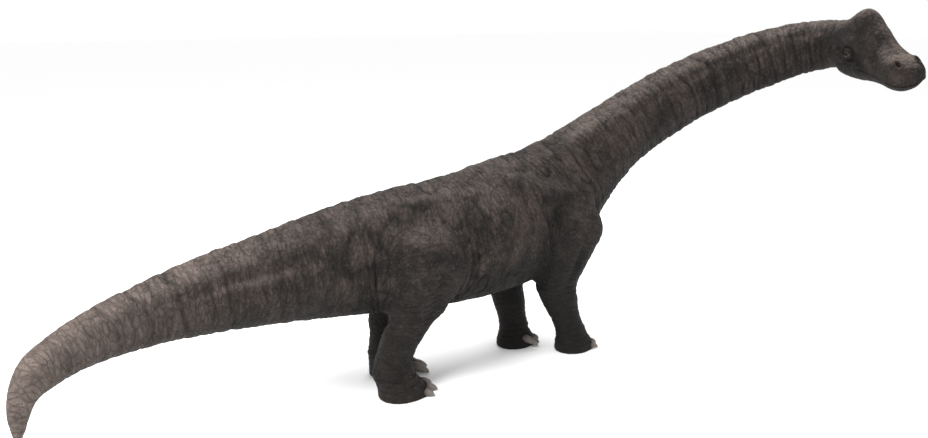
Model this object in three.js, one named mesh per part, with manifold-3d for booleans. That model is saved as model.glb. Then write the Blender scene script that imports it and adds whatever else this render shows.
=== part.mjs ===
// Brachiosaur, life size, standing on four feet with its head turned to its right.
// Millimetres, +X towards the head, +Y the animal's left, +Z up, feet on z = 0.
import * as THREE from 'three';
import { mergeVertices } from 'three/addons/utils/BufferGeometryUtils.js';
import Module from 'manifold-3d';

const wasm = await Module();
wasm.setup();

// Driving dimensions
const gap = 0.3; // between touching pieces
const hipX = -2100; // hips, behind the middle of the trunk
const hipHeight = 2840; // centre line of the body above the hips
const tailLength = 7960;
const trunkLength = 4300;
const neckLength = 8050;
const headLength = 2080;
const headTurn = -105; // facing to its right and a little back
const headClimb = -17;
const headRoll = 15; // left side raised
const kneeHeight = 1780;
const ankleHeight = 600;
const elbowHeight = 1640;
const wristHeight = 540;
const eyeRadius = 118;
const hindClawLength = 300;
const thumbClawLength = 280;
const nailLength = 130;
const clawLift = 20; // of a claw's root above the floor

const rad = THREE.MathUtils.degToRad;
const vec = (x, y, z) => new THREE.Vector3(x, y, z);

// A smooth value through stations [[place, value], ...], by cubic Hermite with averaged slopes.
const through = (stations, s) => {
  const last = stations.length - 1;
  if (s <= stations[0][0]) return stations[0][1];
  if (s >= stations[last][0]) return stations[last][1];
  let i = 0;
  while (stations[i + 1][0] < s) i += 1;
  const slope = (k) => {
    const a = stations[Math.max(0, k - 1)];
    const b = stations[Math.min(last, k + 1)];
    return (b[1] - a[1]) / (b[0] - a[0]);
  };
  const [s0, v0] = stations[i];
  const [s1, v1] = stations[i + 1];
  const span = s1 - s0;
  const t = (s - s0) / span;
  const h = t * t * (3 - 2 * t);
  return v0 * (1 - h) + v1 * h + span * t * (1 - t) * ((1 - t) * slope(i) - t * slope(i + 1));
};

// Body, from the tail tip to the back of the head: distance from the hips, climb and turn of the
// forward direction in degrees, half width, half height above and below the centre line.
const tipAt = -tailLength;
const shoulderAt = trunkLength;
const napeAt = trunkLength + neckLength;
const bodyStations = [
  { at: tipAt, climb: 84, turn: 58, wide: 45, up: 55, down: 55 },
  { at: tipAt + 240, climb: 78, turn: 55, wide: 115, up: 150, down: 150 },
  { at: tipAt + 610, climb: 50, turn: 50, wide: 185, up: 250, down: 250 },
  { at: tipAt + 1060, climb: 19, turn: 42, wide: 255, up: 335, down: 340 },
  { at: -6200, climb: 9, turn: 31, wide: 315, up: 405, down: 415 },
  { at: -5000, climb: 5, turn: 18, wide: 440, up: 520, down: 530 },
  { at: -3600, climb: 4, turn: 8, wide: 610, up: 710, down: 715 },
  { at: -2200, climb: 4, turn: 2, wide: 780, up: 890, down: 915 },
  { at: -800, climb: 3, turn: 0, wide: 950, up: 1105, down: 1110 },
  { at: 600, climb: 1, turn: 0, wide: 1100, up: 1255, down: 1280 },
  { at: 2000, climb: 7, turn: 0, wide: 1290, up: 1330, down: 1370 },
  { at: 3300, climb: 16, turn: 0, wide: 1210, up: 1350, down: 1460 },
  { at: shoulderAt, climb: 31, turn: 0, wide: 980, up: 1180, down: 1390 },
  { at: 5300, climb: 34, turn: -3, wide: 780, up: 930, down: 1110 },
  { at: 6500, climb: 30, turn: -8, wide: 670, up: 805, down: 825 },
  { at: 8000, climb: 26, turn: -17, wide: 600, up: 735, down: 735 },
  { at: 9500, climb: 22, turn: -30, wide: 540, up: 675, down: 670 },
  { at: 10800, climb: 18, turn: -48, wide: 495, up: 605, down: 605 },
  { at: 11600, climb: 11, turn: -66, wide: 460, up: 550, down: 560 },
  { at: napeAt, climb: -3, turn: -90, wide: 435, up: 510, down: 530 },
];
const column = (rows, key) => rows.map((row) => [row.at, row[key]]);
const climbs = column(bodyStations, 'climb');
const turns = column(bodyStations, 'turn');
const bodyWide = column(bodyStations, 'wide');
const bodyUp = column(bodyStations, 'up');
const bodyDown = column(bodyStations, 'down');

const forwardAt = (s) => {
  const climb = rad(through(climbs, s));
  const turn = rad(through(turns, s));
  return vec(Math.cos(turn) * Math.cos(climb), Math.sin(turn) * Math.cos(climb), Math.sin(climb));
};

// The centre line, walked in short steps forwards and backwards from the hips.
const stride = 50;
const walk = (end) => {
  const points = [vec(hipX, 0, hipHeight)];
  const count = Math.round(Math.abs(end) / stride);
  const step = end / count;
  for (let i = 0; i < count; i += 1) {
    points.push(points[i].clone().addScaledVector(forwardAt(step * (i + 0.5)), step));
  }
  return { points, step };
};
const ahead = walk(napeAt);
const behind = walk(tipAt);
const centreAt = (s) => {
  const { points, step } = s < 0 ? behind : ahead;
  const k = Math.min(s / step, points.length - 1);
  const i = Math.min(Math.floor(k), points.length - 2);
  return points[i].clone().lerp(points[i + 1], k - i);
};

// A point of the body's section at s, where (c, n) is a point of the unit disc.
const bodyPoint = (s, c, n, grown = 0) => {
  const turn = rad(through(turns, s));
  const forward = forwardAt(s);
  const left = vec(-Math.sin(turn), Math.cos(turn), 0);
  const upward = forward.clone().cross(left);
  const wide = through(bodyWide, s) + grown;
  const high = (n > 0 ? through(bodyUp, s) : through(bodyDown, s)) + grown;
  return centreAt(s).addScaledVector(left, wide * c).addScaledVector(upward, high * n);
};

// Closed meshes as solids, and back again
const solid = (geometry) => {
  const bare = geometry.clone();
  bare.deleteAttribute('normal');
  bare.deleteAttribute('uv');
  const merged = mergeVertices(bare, 1e-3);
  const triVerts = new Uint32Array(merged.index.array);
  const build = () => new wasm.Manifold(new wasm.Mesh({
    numProp: 3,
    vertProperties: merged.attributes.position.array,
    triVerts,
  }));
  const made = build();
  if (made.volume() > 0) return made;
  for (let i = 0; i < triVerts.length; i += 3) {
    [triVerts[i + 1], triVerts[i + 2]] = [triVerts[i + 2], triVerts[i + 1]];
  }
  return build();
};
const bend = (geometry, map) => {
  const place = geometry.attributes.position;
  for (let i = 0; i < place.count; i += 1) {
    const p = map(vec().fromBufferAttribute(place, i));
    place.setXYZ(i, p.x, p.y, p.z);
  }
  return solid(geometry);
};
const largest = (made) => made.decompose().sort((a, b) => b.volume() - a.volume())[0];

// A length of a tube: a unit cylinder carried through a section function.
const tube = (from, to, sides, steps, section) => {
  const unit = new THREE.CylinderGeometry(1, 1, 1, sides, steps);
  return bend(unit, (p) => section(from + (to - from) * (p.y + 0.5), p.x, p.z));
};
const bodySides = 22;
const bodyLength = (from, to, steps, grown = 0) => (
  tube(from, to, bodySides, steps, (s, c, n) => bodyPoint(s, c, n, grown))
);

const toeWidth = 11; // degrees
const toeSwell = 0.13;
const angleBetween = (c, n, degrees) => {
  const away = THREE.MathUtils.radToDeg(Math.atan2(n, c)) - degrees;
  return Math.hypot(c, n) < 1e-6 ? 180 : Math.abs(((away + 540) % 360) - 180);
};

// Limbs: horizontal slices, each row a height with its centre and half sizes.
const limbPoint = (rows, toes = []) => {
  const [xs, ys, longs, wides] = ['x', 'y', 'long', 'wide'].map((key) => column(rows, key));
  return (z, c, n, grown = 0) => {
    // Each toe swells the slice around its own direction, low down.
    const low = Math.exp(-(((z - 120) / 190) ** 2));
    const swells = toes.map((toe) => Math.exp(-((angleBetween(c, n, toe) / toeWidth) ** 2)));
    const out = 1 + toeSwell * low * swells.reduce((sum, swell) => sum + swell, 0);
    return vec(
      through(xs, z) + (through(longs, z) * out + grown) * c,
      through(ys, z) + (through(wides, z) * out + grown) * n,
      z,
    );
  };
};
const hindTop = 3700;
const hindRows = (side, footX, footY, kneeX) => {
  const y = side * footY;
  const reach = kneeX - footX; // how far the knee stands ahead of the foot
  return [
    { at: 0, x: footX, y, long: 480, wide: 410 },
    { at: 200, x: footX - reach * 0.05, y, long: 495, wide: 420 },
    { at: 430, x: footX - reach * 0.35, y, long: 440, wide: 380 },
    { at: 750, x: footX - reach * 0.5, y, long: 400, wide: 350 },
    { at: 1250, x: footX + reach * 0.1, y, long: 440, wide: 380 },
    { at: kneeHeight, x: kneeX - 60, y: y + side * 60, long: 560, wide: 450 },
    { at: 2300, x: hipX + 450, y: side * 840, long: 750, wide: 540 },
    { at: 2850, x: hipX + 430, y: side * 930, long: 800, wide: 560 },
    { at: 3350, x: hipX + 400, y: side * 810, long: 660, wide: 500 },
    { at: hindTop, x: hipX + 380, y: side * 400, long: 60, wide: 50 },
  ];
};
const shoulderX = 1950;
const foreTop = 3950;
const foreRows = (side, footX, footY, elbowX) => {
  const y = side * footY;
  const reach = footX - elbowX; // how far the foot stands ahead of the elbow
  return [
    { at: 0, x: footX, y, long: 430, wide: 370 },
    { at: 180, x: footX - reach * 0.02, y, long: 440, wide: 375 },
    { at: 400, x: footX - reach * 0.12, y, long: 370, wide: 330 },
    { at: 720, x: footX - reach * 0.35, y, long: 350, wide: 310 },
    { at: 1200, x: footX - reach * 0.75, y, long: 400, wide: 350 },
    { at: elbowHeight, x: elbowX, y: y + side * 80, long: 480, wide: 400 },
    { at: 2200, x: (elbowX + shoulderX) / 2, y: side * 790, long: 560, wide: 470 },
    { at: 2900, x: shoulderX + 20, y: side * 970, long: 620, wide: 490 },
    { at: 3500, x: shoulderX + 100, y: side * 790, long: 520, wide: 430 },
    { at: foreTop, x: shoulderX + 150, y: side * 420, long: 60, wide: 50 },
  ];
};
const limbSides = 18;
const footSides = 40;

const skin = new THREE.MeshStandardMaterial({ color: 0x5a514c, roughness: 0.85, metalness: 0 });
const figure = new THREE.Group();
const add = (name, made, material = skin) => {
  const mesh = made.getMesh();
  const geometry = new THREE.BufferGeometry();
  geometry.setAttribute('position', new THREE.BufferAttribute(mesh.vertProperties, 3));
  geometry.setIndex(new THREE.BufferAttribute(mesh.triVerts, 1));
  geometry.computeVertexNormals();
  const node = new THREE.Mesh(geometry, material);
  node.name = name;
  figure.add(node);
};

const lengths = [
  ['tail_tip', tipAt, -7250, 4],
  ['tail_bend', -7250, -6300, 5],
  ['tail_end', -6300, -4700, 5],
  ['tail_middle', -4700, -3000, 5],
  ['tail_base', -3000, -1000, 5],
  ['hips', -1000, 1300, 5],
  ['belly', 1300, 2900, 4],
  ['chest', 2900, 4700, 6],
  ['neck_base', 4700, 6300, 6],
  ['neck_lower', 6300, 7900, 5],
  ['neck_middle', 7900, 9700, 5],
  ['neck_upper', 9700, 11100, 5],
  ['nape', 11100, napeAt, 6],
];
for (const [name, from, to, steps] of lengths) {
  const start = from === tipAt ? from : from + gap / 2;
  add(name, bodyLength(start, to - gap / 2, steps));
}
const grownLengths = lengths.slice(3, 9).map(([, from, to, steps]) => (
  bodyLength(from - gap, to + gap, steps, gap)
));
const grownBody = grownLengths.reduce((whole, made) => whole.add(made));
const legs = [
  { end: 'hind', side: 'right', sign: -1, footX: -2040, footY: 620, bendX: -1640 },
  { end: 'hind', side: 'left', sign: 1, footX: -1650, footY: 520, bendX: -1450 },
  { end: 'fore', side: 'right', sign: -1, footX: 2480, footY: 500, bendX: 1880 },
  { end: 'fore', side: 'left', sign: 1, footX: 1540, footY: 460, bendX: 1260 },
];
const hindToes = [44, 14, -16, -46]; // degrees from straight ahead, the innermost toe first
const foreToes = [48, 17, -14, -45];
const clawSizes = [
  { length: hindClawLength, tall: 125, drop: 105 },
  { length: hindClawLength * 0.86, tall: 112, drop: 92 },
  { length: hindClawLength * 0.72, tall: 98, drop: 78 },
  { length: hindClawLength * 0.55, tall: 88, drop: 58 },
];
const nailSizes = [
  { length: nailLength, tall: 92, drop: 40 },
  { length: nailLength, tall: 90, drop: 38 },
  { length: nailLength, tall: 86, drop: 36 },
  { length: nailLength, tall: 82, drop: 34 },
];
const thumb = { turn: 80, height: 215, tall: 105, drop: 120 };
const horn = new THREE.MeshStandardMaterial({ color: 0x8d8478, roughness: 0.5, metalness: 0 });
// A claw: taller than wide, along the ground, its axis dropping towards a blunt tip.
const clawAt = (x, y, height, heading, length, tall, drop) => {
  const c = Math.cos(heading);
  const n = Math.sin(heading);
  return tube(0, 1, 8, 5, (t, a, b) => {
    const radius = tall * Math.sqrt(1 - 0.97 * t ** 2);
    const along = length * (1.35 * t - 0.35);
    const across = a * radius * 0.82;
    const up = height - drop * t * t + b * radius;
    return vec(x + c * along - n * across, y + n * along + c * across, up);
  });
};
for (const { end, side, sign, footX, footY, bendX } of legs) {
  const hind = end === 'hind';
  const rows = (hind ? hindRows : foreRows)(sign, footX, footY, bendX);
  const joints = hind
    ? [['shank', ankleHeight, kneeHeight, 5], ['thigh', kneeHeight, hindTop, 10]]
    : [['lower', wristHeight, elbowHeight, 5], ['upper', elbowHeight, foreTop, 10]];
  for (const [part, from, to, steps] of joints) {
    const made = tube(from + gap, to, limbSides, steps, limbPoint(rows)).subtract(grownBody);
    add(`${part}_${end}_${side}`, largest(made));
  }
  const inner = -sign;
  const toes = (hind ? hindToes : foreToes).map((toe) => toe * inner);
  const point = limbPoint(rows, toes);
  const top = hind ? ankleHeight : wristHeight;
  add(`foot_${end}_${side}`, tube(0, top, footSides, 6, (z, c, n) => point(z, c, n)));
  const grownFoot = tube(0, top, footSides, 6, (z, c, n) => point(z, c, n, gap));
  const kind = hind ? 'claw' : 'nail';
  for (const [i, { length, tall, drop }] of (hind ? clawSizes : nailSizes).entries()) {
    const heading = rad(toes[i]);
    const rim = point(110, Math.cos(heading) * 0.95, Math.sin(heading) * 0.95);
    const made = clawAt(rim.x, rim.y, tall + clawLift, heading * 0.75, length, tall, drop);
    add(`${kind}_${end}_${side}_${i + 1}`, largest(made.subtract(grownFoot)), horn);
  }
  if (!hind) {
    const heading = rad(inner * thumb.turn);
    const rim = point(210, Math.cos(heading) * 0.93, Math.sin(heading) * 0.93);
    const { height, tall, drop } = thumb;
    const made = clawAt(rim.x, rim.y, height, heading * 0.6, thumbClawLength, tall, drop);
    add(`claw_thumb_${side}`, largest(made.subtract(grownFoot)), horn);
  }
}

// Head: x forwards from the back of the skull, y left, z up.
const headFrame = (() => {
  const turn = rad(headTurn);
  const climb = rad(headClimb);
  const roll = rad(headRoll);
  const flat = Math.cos(climb);
  const forward = vec(Math.cos(turn) * flat, Math.sin(turn) * flat, Math.sin(climb));
  const level = vec(-Math.sin(turn), Math.cos(turn), 0);
  const upward = forward.clone().cross(level);
  const left = level.clone().multiplyScalar(Math.cos(roll)).addScaledVector(upward, Math.sin(roll));
  const top = forward.clone().cross(left);
  return new THREE.Matrix4().makeBasis(forward, left, top).setPosition(centreAt(napeAt));
})();
const headRows = [
  { at: -300, wide: 400, up: 470, down: 500, middle: 0 },
  { at: 60, wide: 445, up: 530, down: 570, middle: 0 },
  { at: 420, wide: 490, up: 550, down: 600, middle: 0 },
  { at: 800, wide: 475, up: 500, down: 540, middle: 0 },
  { at: 1150, wide: 430, up: 410, down: 460, middle: -10 },
  { at: 1450, wide: 420, up: 350, down: 410, middle: -20 },
  { at: 1720, wide: 425, up: 320, down: 380, middle: -35 },
  { at: 1920, wide: 375, up: 265, down: 320, middle: -50 },
  { at: 2020, wide: 285, up: 195, down: 235, middle: -60 },
  { at: 2060, wide: 185, up: 125, down: 150, middle: -65 },
  { at: headLength, wide: 40, up: 25, down: 30, middle: -70 },
];
const headWide = column(headRows, 'wide');
const headUp = column(headRows, 'up');
const headDown = column(headRows, 'down');
const headMiddle = column(headRows, 'middle');
const boxy = (v) => Math.sign(v) * Math.abs(v) ** 0.86; // fuller than an ellipse
// Smooth swellings of the head: centre (x, y, z), reach along each axis and how far the skin lifts out.
const swellings = [
  { x: 530, y: 0, z: 620, along: 410, across: 290, high: 520, out: 440 }, // nasal arch above the eyes
  { x: 1040, y: 0, z: 480, along: 220, across: 240, high: 300, out: 90 }, // its slope on to the muzzle
  { x: 610, y: 470, z: 345, along: 220, across: 200, high: 90, out: 85 }, // brows
  { x: 360, y: 480, z: -260, along: 230, across: 300, high: 210, out: 85 }, // jaw muscles
  { x: 1780, y: 230, z: 290, along: 150, across: 110, high: 160, out: 55 }, // fleshy nostrils
  { x: 900, y: 470, z: 60, along: 190, across: 200, high: 90, out: -45 }, // hollows before the eyes
];
const headPoint = (x, c, n) => {
  const point = vec(
    x,
    through(headWide, x) * boxy(c),
    through(headMiddle, x) + (n > 0 ? through(headUp, x) : through(headDown, x)) * boxy(n),
  );
  const outward = vec(0, c, n);
  let lift = 0;
  for (const s of swellings) {
    const a = (point.x - s.x) / s.along;
    const b = (Math.abs(point.y) - s.y) / s.across;
    const d = (point.z - s.z) / s.high;
    lift += s.out * Math.exp(-a * a - b * b - d * d);
  }
  return point.addScaledVector(outward, lift);
};
const ball = (x, y, z, a, b, c, around = 16, along = 10) => (
  bend(new THREE.SphereGeometry(1, around, along), (p) => vec(x + p.x * a, y + p.y * b, z + p.z * c))
);
const ring = (x, y, z, radius, thick, yaw, tall = 1) => (
  bend(new THREE.TorusGeometry(radius, thick, 6, 18), (p) => {
    const q = vec(p.x, p.z, p.y * tall).applyAxisAngle(vec(0, 0, 1), yaw);
    return q.add(vec(x, y, z));
  })
);
const box = (x0, x1, y, z0, z1) => bend(
  new THREE.BoxGeometry(x1 - x0, 2 * y, z1 - z0),
  (p) => p.add(vec((x0 + x1) / 2, 0, (z0 + z1) / 2)),
);
const headSides = 34;
const headBack = -300; // inside the nape, cut off there below
const towardsMuzzle = (t) => headBack + (headLength - headBack) * Math.sin(t * Math.PI / 2) ** 0.8;
const skull = tube(0, 1, headSides, 30, (t, c, n) => headPoint(towardsMuzzle(t), c, n));
const eyeX = 620;
const eyeZ = 130;
const eyeY = through(headWide, eyeX) - 32; // set a little into the side of the head
const lidRadius = eyeRadius * 1.02;
const lidThickness = 34;
const lidOut = 40; // the lids' ring, ahead of the eyeball's centre
const lidTurn = rad(-7);
const lidFlatness = 0.84;
const nostril = { x: 1815, y: 235, z: 315, along: 62, across: 40, deep: 110 };
const ear = { x: 250, y: 480, z: 90, along: 44, deep: 50, high: 62 };
const mouthZ = -150; // height of the mouth line at the muzzle
const mouthX = 860; // its corner
const lipDepth = 46;
const jawNarrower = 0.94; // width of the lower jaw beside the upper
const lipHeight = 22;

let head = skull;
for (const sign of [-1, 1]) {
  const middleY = sign * (eyeY + lidOut);
  head = head.add(ring(eyeX, middleY, eyeZ, lidRadius, lidThickness, sign * lidTurn, lidFlatness));
}
// The mouth line runs round the muzzle from corner to corner, between rounded lips.
const lipLine = (t) => {
  const near = Math.min(1, Math.abs(t - 0.5) * 2); // 0 at the front, 1 at a corner
  const x = mouthX + (headLength - 8 - mouthX) * Math.cos(near * Math.PI / 2) ** 0.7;
  return vec(x, Math.sign(t - 0.5) * through(headWide, x) * 0.95, mouthZ);
};
const groove = tube(0.001, 0.999, 4, 30, (t, a, b) => {
  const along = lipLine(t + 0.001).sub(lipLine(t - 0.001)).normalize();
  const fade = 0.15 + 0.85 * Math.min(1, (0.5 - Math.abs(t - 0.5)) * 8);
  return lipLine(t).add(vec(along.y * a * lipDepth, -along.x * a * lipDepth, b * lipHeight * fade));
});
const below = box(mouthX - 160, headLength + 50, 700, -700, mouthZ);
const belowGrown = box(mouthX - 160 - gap, headLength + 50, 700, -700, mouthZ + gap);
let jaw = largest(head.intersect(below).subtract(groove));
head = head.subtract(belowGrown).subtract(groove);
const moved = (made, matrix) => made.transform(matrix.toArray());
const neckEnd = (() => {
  const turn = rad(through(turns, napeAt));
  const forward = forwardAt(napeAt);
  const left = vec(-Math.sin(turn), Math.cos(turn), 0);
  const upward = forward.clone().cross(left);
  return new THREE.Matrix4().makeBasis(forward, left, upward).setPosition(centreAt(napeAt));
})();
const neckInHead = headFrame.clone().invert().multiply(neckEnd);
const behindNeckEnd = moved(box(-1500, gap / 2, 1500, -1500, 1500), neckInHead);
head = head.subtract(behindNeckEnd);
jaw = moved(jaw.subtract(behindNeckEnd), new THREE.Matrix4().makeScale(1, jawNarrower, 1));
for (const sign of [-1, 1]) {
  head = head.subtract(ball(eyeX, sign * eyeY, eyeZ, eyeRadius + gap, eyeRadius + gap, eyeRadius + gap));
  const { x, y, z, along, across, deep } = nostril;
  head = head.subtract(ball(x, sign * y, z, along, across, deep, 12, 8));
  head = head.subtract(ball(ear.x, sign * ear.y, ear.z, ear.along, ear.deep, ear.high, 12, 8));
}
add('head', moved(largest(head), headFrame));
add('jaw', moved(largest(jaw), headFrame));
const eyeball = new THREE.MeshStandardMaterial({ color: 0x14100d, roughness: 0.15, metalness: 0 });
for (const [side, sign] of [['right', -1], ['left', 1]]) {
  const made = ball(eyeX, sign * eyeY, eyeZ, eyeRadius, eyeRadius, eyeRadius);
  add(`eye_${side}`, moved(made, headFrame), eyeball);
}

// Centred over the origin, feet on the floor
const bounds = new THREE.Box3().setFromObject(figure);
const middle = bounds.getCenter(vec());
for (const node of figure.children) node.geometry.translate(-middle.x, -middle.y, 0);

export default figure;
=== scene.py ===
import math

import bmesh
import bpy
import numpy as np
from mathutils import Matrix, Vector


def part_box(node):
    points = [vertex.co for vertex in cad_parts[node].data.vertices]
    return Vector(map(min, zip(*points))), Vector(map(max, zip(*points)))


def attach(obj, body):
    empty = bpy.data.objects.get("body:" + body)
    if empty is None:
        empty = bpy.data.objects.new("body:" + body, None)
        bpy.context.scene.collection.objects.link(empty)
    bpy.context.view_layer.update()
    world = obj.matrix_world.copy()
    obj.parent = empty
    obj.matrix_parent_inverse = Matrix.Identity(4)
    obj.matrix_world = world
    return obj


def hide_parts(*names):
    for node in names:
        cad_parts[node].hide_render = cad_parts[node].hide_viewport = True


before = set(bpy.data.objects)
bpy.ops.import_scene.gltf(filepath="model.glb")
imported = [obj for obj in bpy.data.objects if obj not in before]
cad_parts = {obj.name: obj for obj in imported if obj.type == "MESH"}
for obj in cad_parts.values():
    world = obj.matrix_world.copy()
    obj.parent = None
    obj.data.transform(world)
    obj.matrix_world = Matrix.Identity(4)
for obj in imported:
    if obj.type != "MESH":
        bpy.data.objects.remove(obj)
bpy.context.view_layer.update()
print("frame loaded,", len(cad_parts), "nodes")

# All lengths are metres. The body runs along s, the distance ahead of the hips, from tail tip to skull.
# At each place it climbs and turns by some degrees, and its section is so wide and goes so far up and down.
bodyLine = {
    "hipX": -2.1,
    "hipHeight": 2.84,
    "at": [
        -7.96, -7.72, -7.35, -6.9, -6.2, -5.0, -3.6, -2.2, -0.8, 0.6,
        2.0, 3.3, 4.3, 5.3, 6.5, 8.0, 9.5, 10.8, 11.6, 12.35,
    ],
    "climb": [84, 78, 50, 19, 9, 5, 4, 4, 3, 1, 7, 16, 31, 34, 30, 26, 22, 18, 11, -3],
    "turn": [58, 55, 50, 42, 31, 18, 8, 2, 0, 0, 0, 0, 0, -3, -8, -17, -30, -48, -66, -90],
    "wide": [
        0.045, 0.115, 0.185, 0.255, 0.315, 0.44, 0.61, 0.78, 0.95, 1.1,
        1.29, 1.21, 0.98, 0.78, 0.67, 0.6, 0.54, 0.495, 0.46, 0.435,
    ],
    "up": [
        0.055, 0.15, 0.25, 0.335, 0.405, 0.52, 0.71, 0.89, 1.105, 1.255,
        1.33, 1.35, 1.18, 0.93, 0.805, 0.735, 0.675, 0.605, 0.55, 0.51,
    ],
    "down": [
        0.055, 0.15, 0.25, 0.34, 0.415, 0.53, 0.715, 0.915, 1.11, 1.28,
        1.37, 1.46, 1.39, 1.11, 0.825, 0.735, 0.67, 0.605, 0.56, 0.53,
    ],
    "step": 0.025,  # of the sums along the centre line
}
tailTip = bodyLine["at"][0]
nape = bodyLine["at"][-1]


# A smooth value through places and values: cubics whose slope at a place is that between its neighbours.
def through(places, values, s):
    places = np.asarray(places, float)
    values = np.asarray(values, float)
    count = len(places)
    before = np.maximum(np.arange(count) - 1, 0)
    after = np.minimum(np.arange(count) + 1, count - 1)
    slopes = (values[after] - values[before]) / (places[after] - places[before])
    s = np.clip(s, places[0], places[-1])
    i = np.clip(np.searchsorted(places, s) - 1, 0, count - 2)
    span = places[i + 1] - places[i]
    t = (s - places[i]) / span
    h = t * t * (3 - 2 * t)
    bulge = span * t * (1 - t) * ((1 - t) * slopes[i] - t * slopes[i + 1])
    return values[i] * (1 - h) + values[i + 1] * h + bulge


def alongBody(key, s):
    return through(bodyLine["at"], bodyLine[key], s)


def forwardAlong(s):  # unit vectors from the climb and turn angles
    climb = np.radians(alongBody("climb", s))
    turn = np.radians(alongBody("turn", s))
    return np.stack([np.cos(turn) * np.cos(climb), np.sin(turn) * np.cos(climb), np.sin(climb)], -1)


def leftAlong(s):
    turn = np.radians(alongBody("turn", s))
    return np.stack([-np.sin(turn), np.cos(turn), 0 * turn], -1)


# The centre line: the forward direction summed up in short steps, both ways from the hips.
spineS = np.linspace(tailTip, nape, int(round((nape - tailTip) / bodyLine["step"])) + 1)
spineSteps = forwardAlong((spineS[1:] + spineS[:-1]) / 2) * np.diff(spineS)[:, None]
spinePoints = np.concatenate([[[0, 0, 0]], np.cumsum(spineSteps, 0)])
hipsOnSpine = np.array([np.interp(0, spineS, spinePoints[:, i]) for i in range(3)])
spinePoints += np.array([bodyLine["hipX"], 0, bodyLine["hipHeight"]]) - hipsOnSpine


def centreAlong(s):
    return np.stack([np.interp(s, spineS, spinePoints[:, i]) for i in range(3)], -1)


# A point of the body's section: half width times c to the left, half height times n upwards.
def bodySurface(s, c, n):
    left = leftAlong(s)
    upward = np.cross(forwardAlong(s), left)
    high = np.where(n > 0, alongBody("up", s), alongBody("down", s))
    return centreAlong(s) + left * (alongBody("wide", s) * c)[..., None] + upward * (high * n)[..., None]


# A closed mesh from rings of points: quads between the rings, a fan at either end.
def ringMesh(rings):
    count, around = rings.shape[:2]
    points = np.concatenate([rings.reshape(-1, 3), rings[:1].mean(1), rings[-1:].mean(1)])
    i, j = np.meshgrid(np.arange(count - 1), np.arange(around), indexing="ij")
    k = (j + 1) % around
    low, high = i * around, (i + 1) * around
    quads = np.stack([low + j, low + k, high + k, high + j], -1).reshape(-1, 4)
    j, k = j[0], k[0]
    end = (count - 1) * around
    first = np.stack([k, j, 0 * j + count * around], -1)
    last = np.stack([j + end, k + end, 0 * j + count * around + 1], -1)
    return points, quads.tolist() + first.tolist() + last.tolist()


def aroundRing(count):
    angle = np.arange(count) / count * 2 * np.pi
    return np.cos(angle), np.sin(angle)


# Limbs are level slices: at each height a centre, half length and half width. Toes swell the low slices.
limbShape = {
    "toeWidth": 11.0,  # degrees
    "toeSwell": 0.13,
    "toeHeight": 0.12,
    "toeReach": 0.19,
    "kneeHeight": 1.78,
    "ankleHeight": 0.6,
    "elbowHeight": 1.64,
    "wristHeight": 0.54,
    "hindTop": 3.7,
    "foreTop": 3.95,
    "shoulderX": 1.95,
}
limbPlaces = {
    "hind_right": {"side": -1, "footX": -2.04, "footY": 0.62, "bendX": -1.64, "toes": [44, 14, -16, -46]},
    "hind_left": {"side": 1, "footX": -1.65, "footY": 0.52, "bendX": -1.45, "toes": [44, 14, -16, -46]},
    "fore_right": {"side": -1, "footX": 2.48, "footY": 0.5, "bendX": 1.88, "toes": [48, 17, -14, -45]},
    "fore_left": {"side": 1, "footX": 1.54, "footY": 0.46, "bendX": 1.26, "toes": [48, 17, -14, -45]},
}


def hindRows(side, footX, footY, kneeX):
    y = side * footY
    reach = kneeX - footX
    hip = bodyLine["hipX"]
    return np.array([
        [0, footX, y, 0.48, 0.41],
        [0.2, footX - reach * 0.05, y, 0.495, 0.42],
        [0.43, footX - reach * 0.35, y, 0.44, 0.38],
        [0.75, footX - reach * 0.5, y, 0.4, 0.35],
        [1.25, footX + reach * 0.1, y, 0.44, 0.38],
        [limbShape["kneeHeight"], kneeX - 0.06, y + side * 0.06, 0.56, 0.45],
        [2.3, hip + 0.45, side * 0.84, 0.75, 0.54],
        [2.85, hip + 0.43, side * 0.93, 0.8, 0.56],
        [3.35, hip + 0.4, side * 0.81, 0.66, 0.5],
        [limbShape["hindTop"], hip + 0.38, side * 0.4, 0.06, 0.05],
    ])


def foreRows(side, footX, footY, elbowX):
    y = side * footY
    reach = footX - elbowX
    shoulder = limbShape["shoulderX"]
    return np.array([
        [0, footX, y, 0.43, 0.37],
        [0.18, footX - reach * 0.02, y, 0.44, 0.375],
        [0.4, footX - reach * 0.12, y, 0.37, 0.33],
        [0.72, footX - reach * 0.35, y, 0.35, 0.31],
        [1.2, footX - reach * 0.75, y, 0.4, 0.35],
        [limbShape["elbowHeight"], elbowX, y + side * 0.08, 0.48, 0.4],
        [2.2, (elbowX + shoulder) / 2, side * 0.79, 0.56, 0.47],
        [2.9, shoulder + 0.02, side * 0.97, 0.62, 0.49],
        [3.5, shoulder + 0.1, side * 0.79, 0.52, 0.43],
        [limbShape["foreTop"], shoulder + 0.15, side * 0.42, 0.06, 0.05],
    ])


def limbRows(name):
    place = limbPlaces[name]
    rows = hindRows if name.startswith("hind") else foreRows
    return rows(place["side"], place["footX"], place["footY"], place["bendX"])


def limbToes(name):
    return [toe * -limbPlaces[name]["side"] for toe in limbPlaces[name]["toes"]]


def limbSlice(name, z):  # centre x, centre y, half length, half width
    rows = limbRows(name)
    return [through(rows[:, 0], rows[:, i], z) for i in (1, 2, 3, 4)]


def limbSurface(name, z, c, n):
    x, y, long, wide = limbSlice(name, z)
    low = np.exp(-((z - limbShape["toeHeight"]) / limbShape["toeReach"]) ** 2)
    angle = np.degrees(np.arctan2(n, c))
    swell = 0
    for toe in limbToes(name):
        away = np.abs((angle - toe + 540) % 360 - 180)
        swell = swell + np.exp(-(away / limbShape["toeWidth"]) ** 2)
    out = 1 + limbShape["toeSwell"] * low * swell
    return np.stack([x + long * out * c, y + wide * out * n, z + 0 * c], -1)


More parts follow.
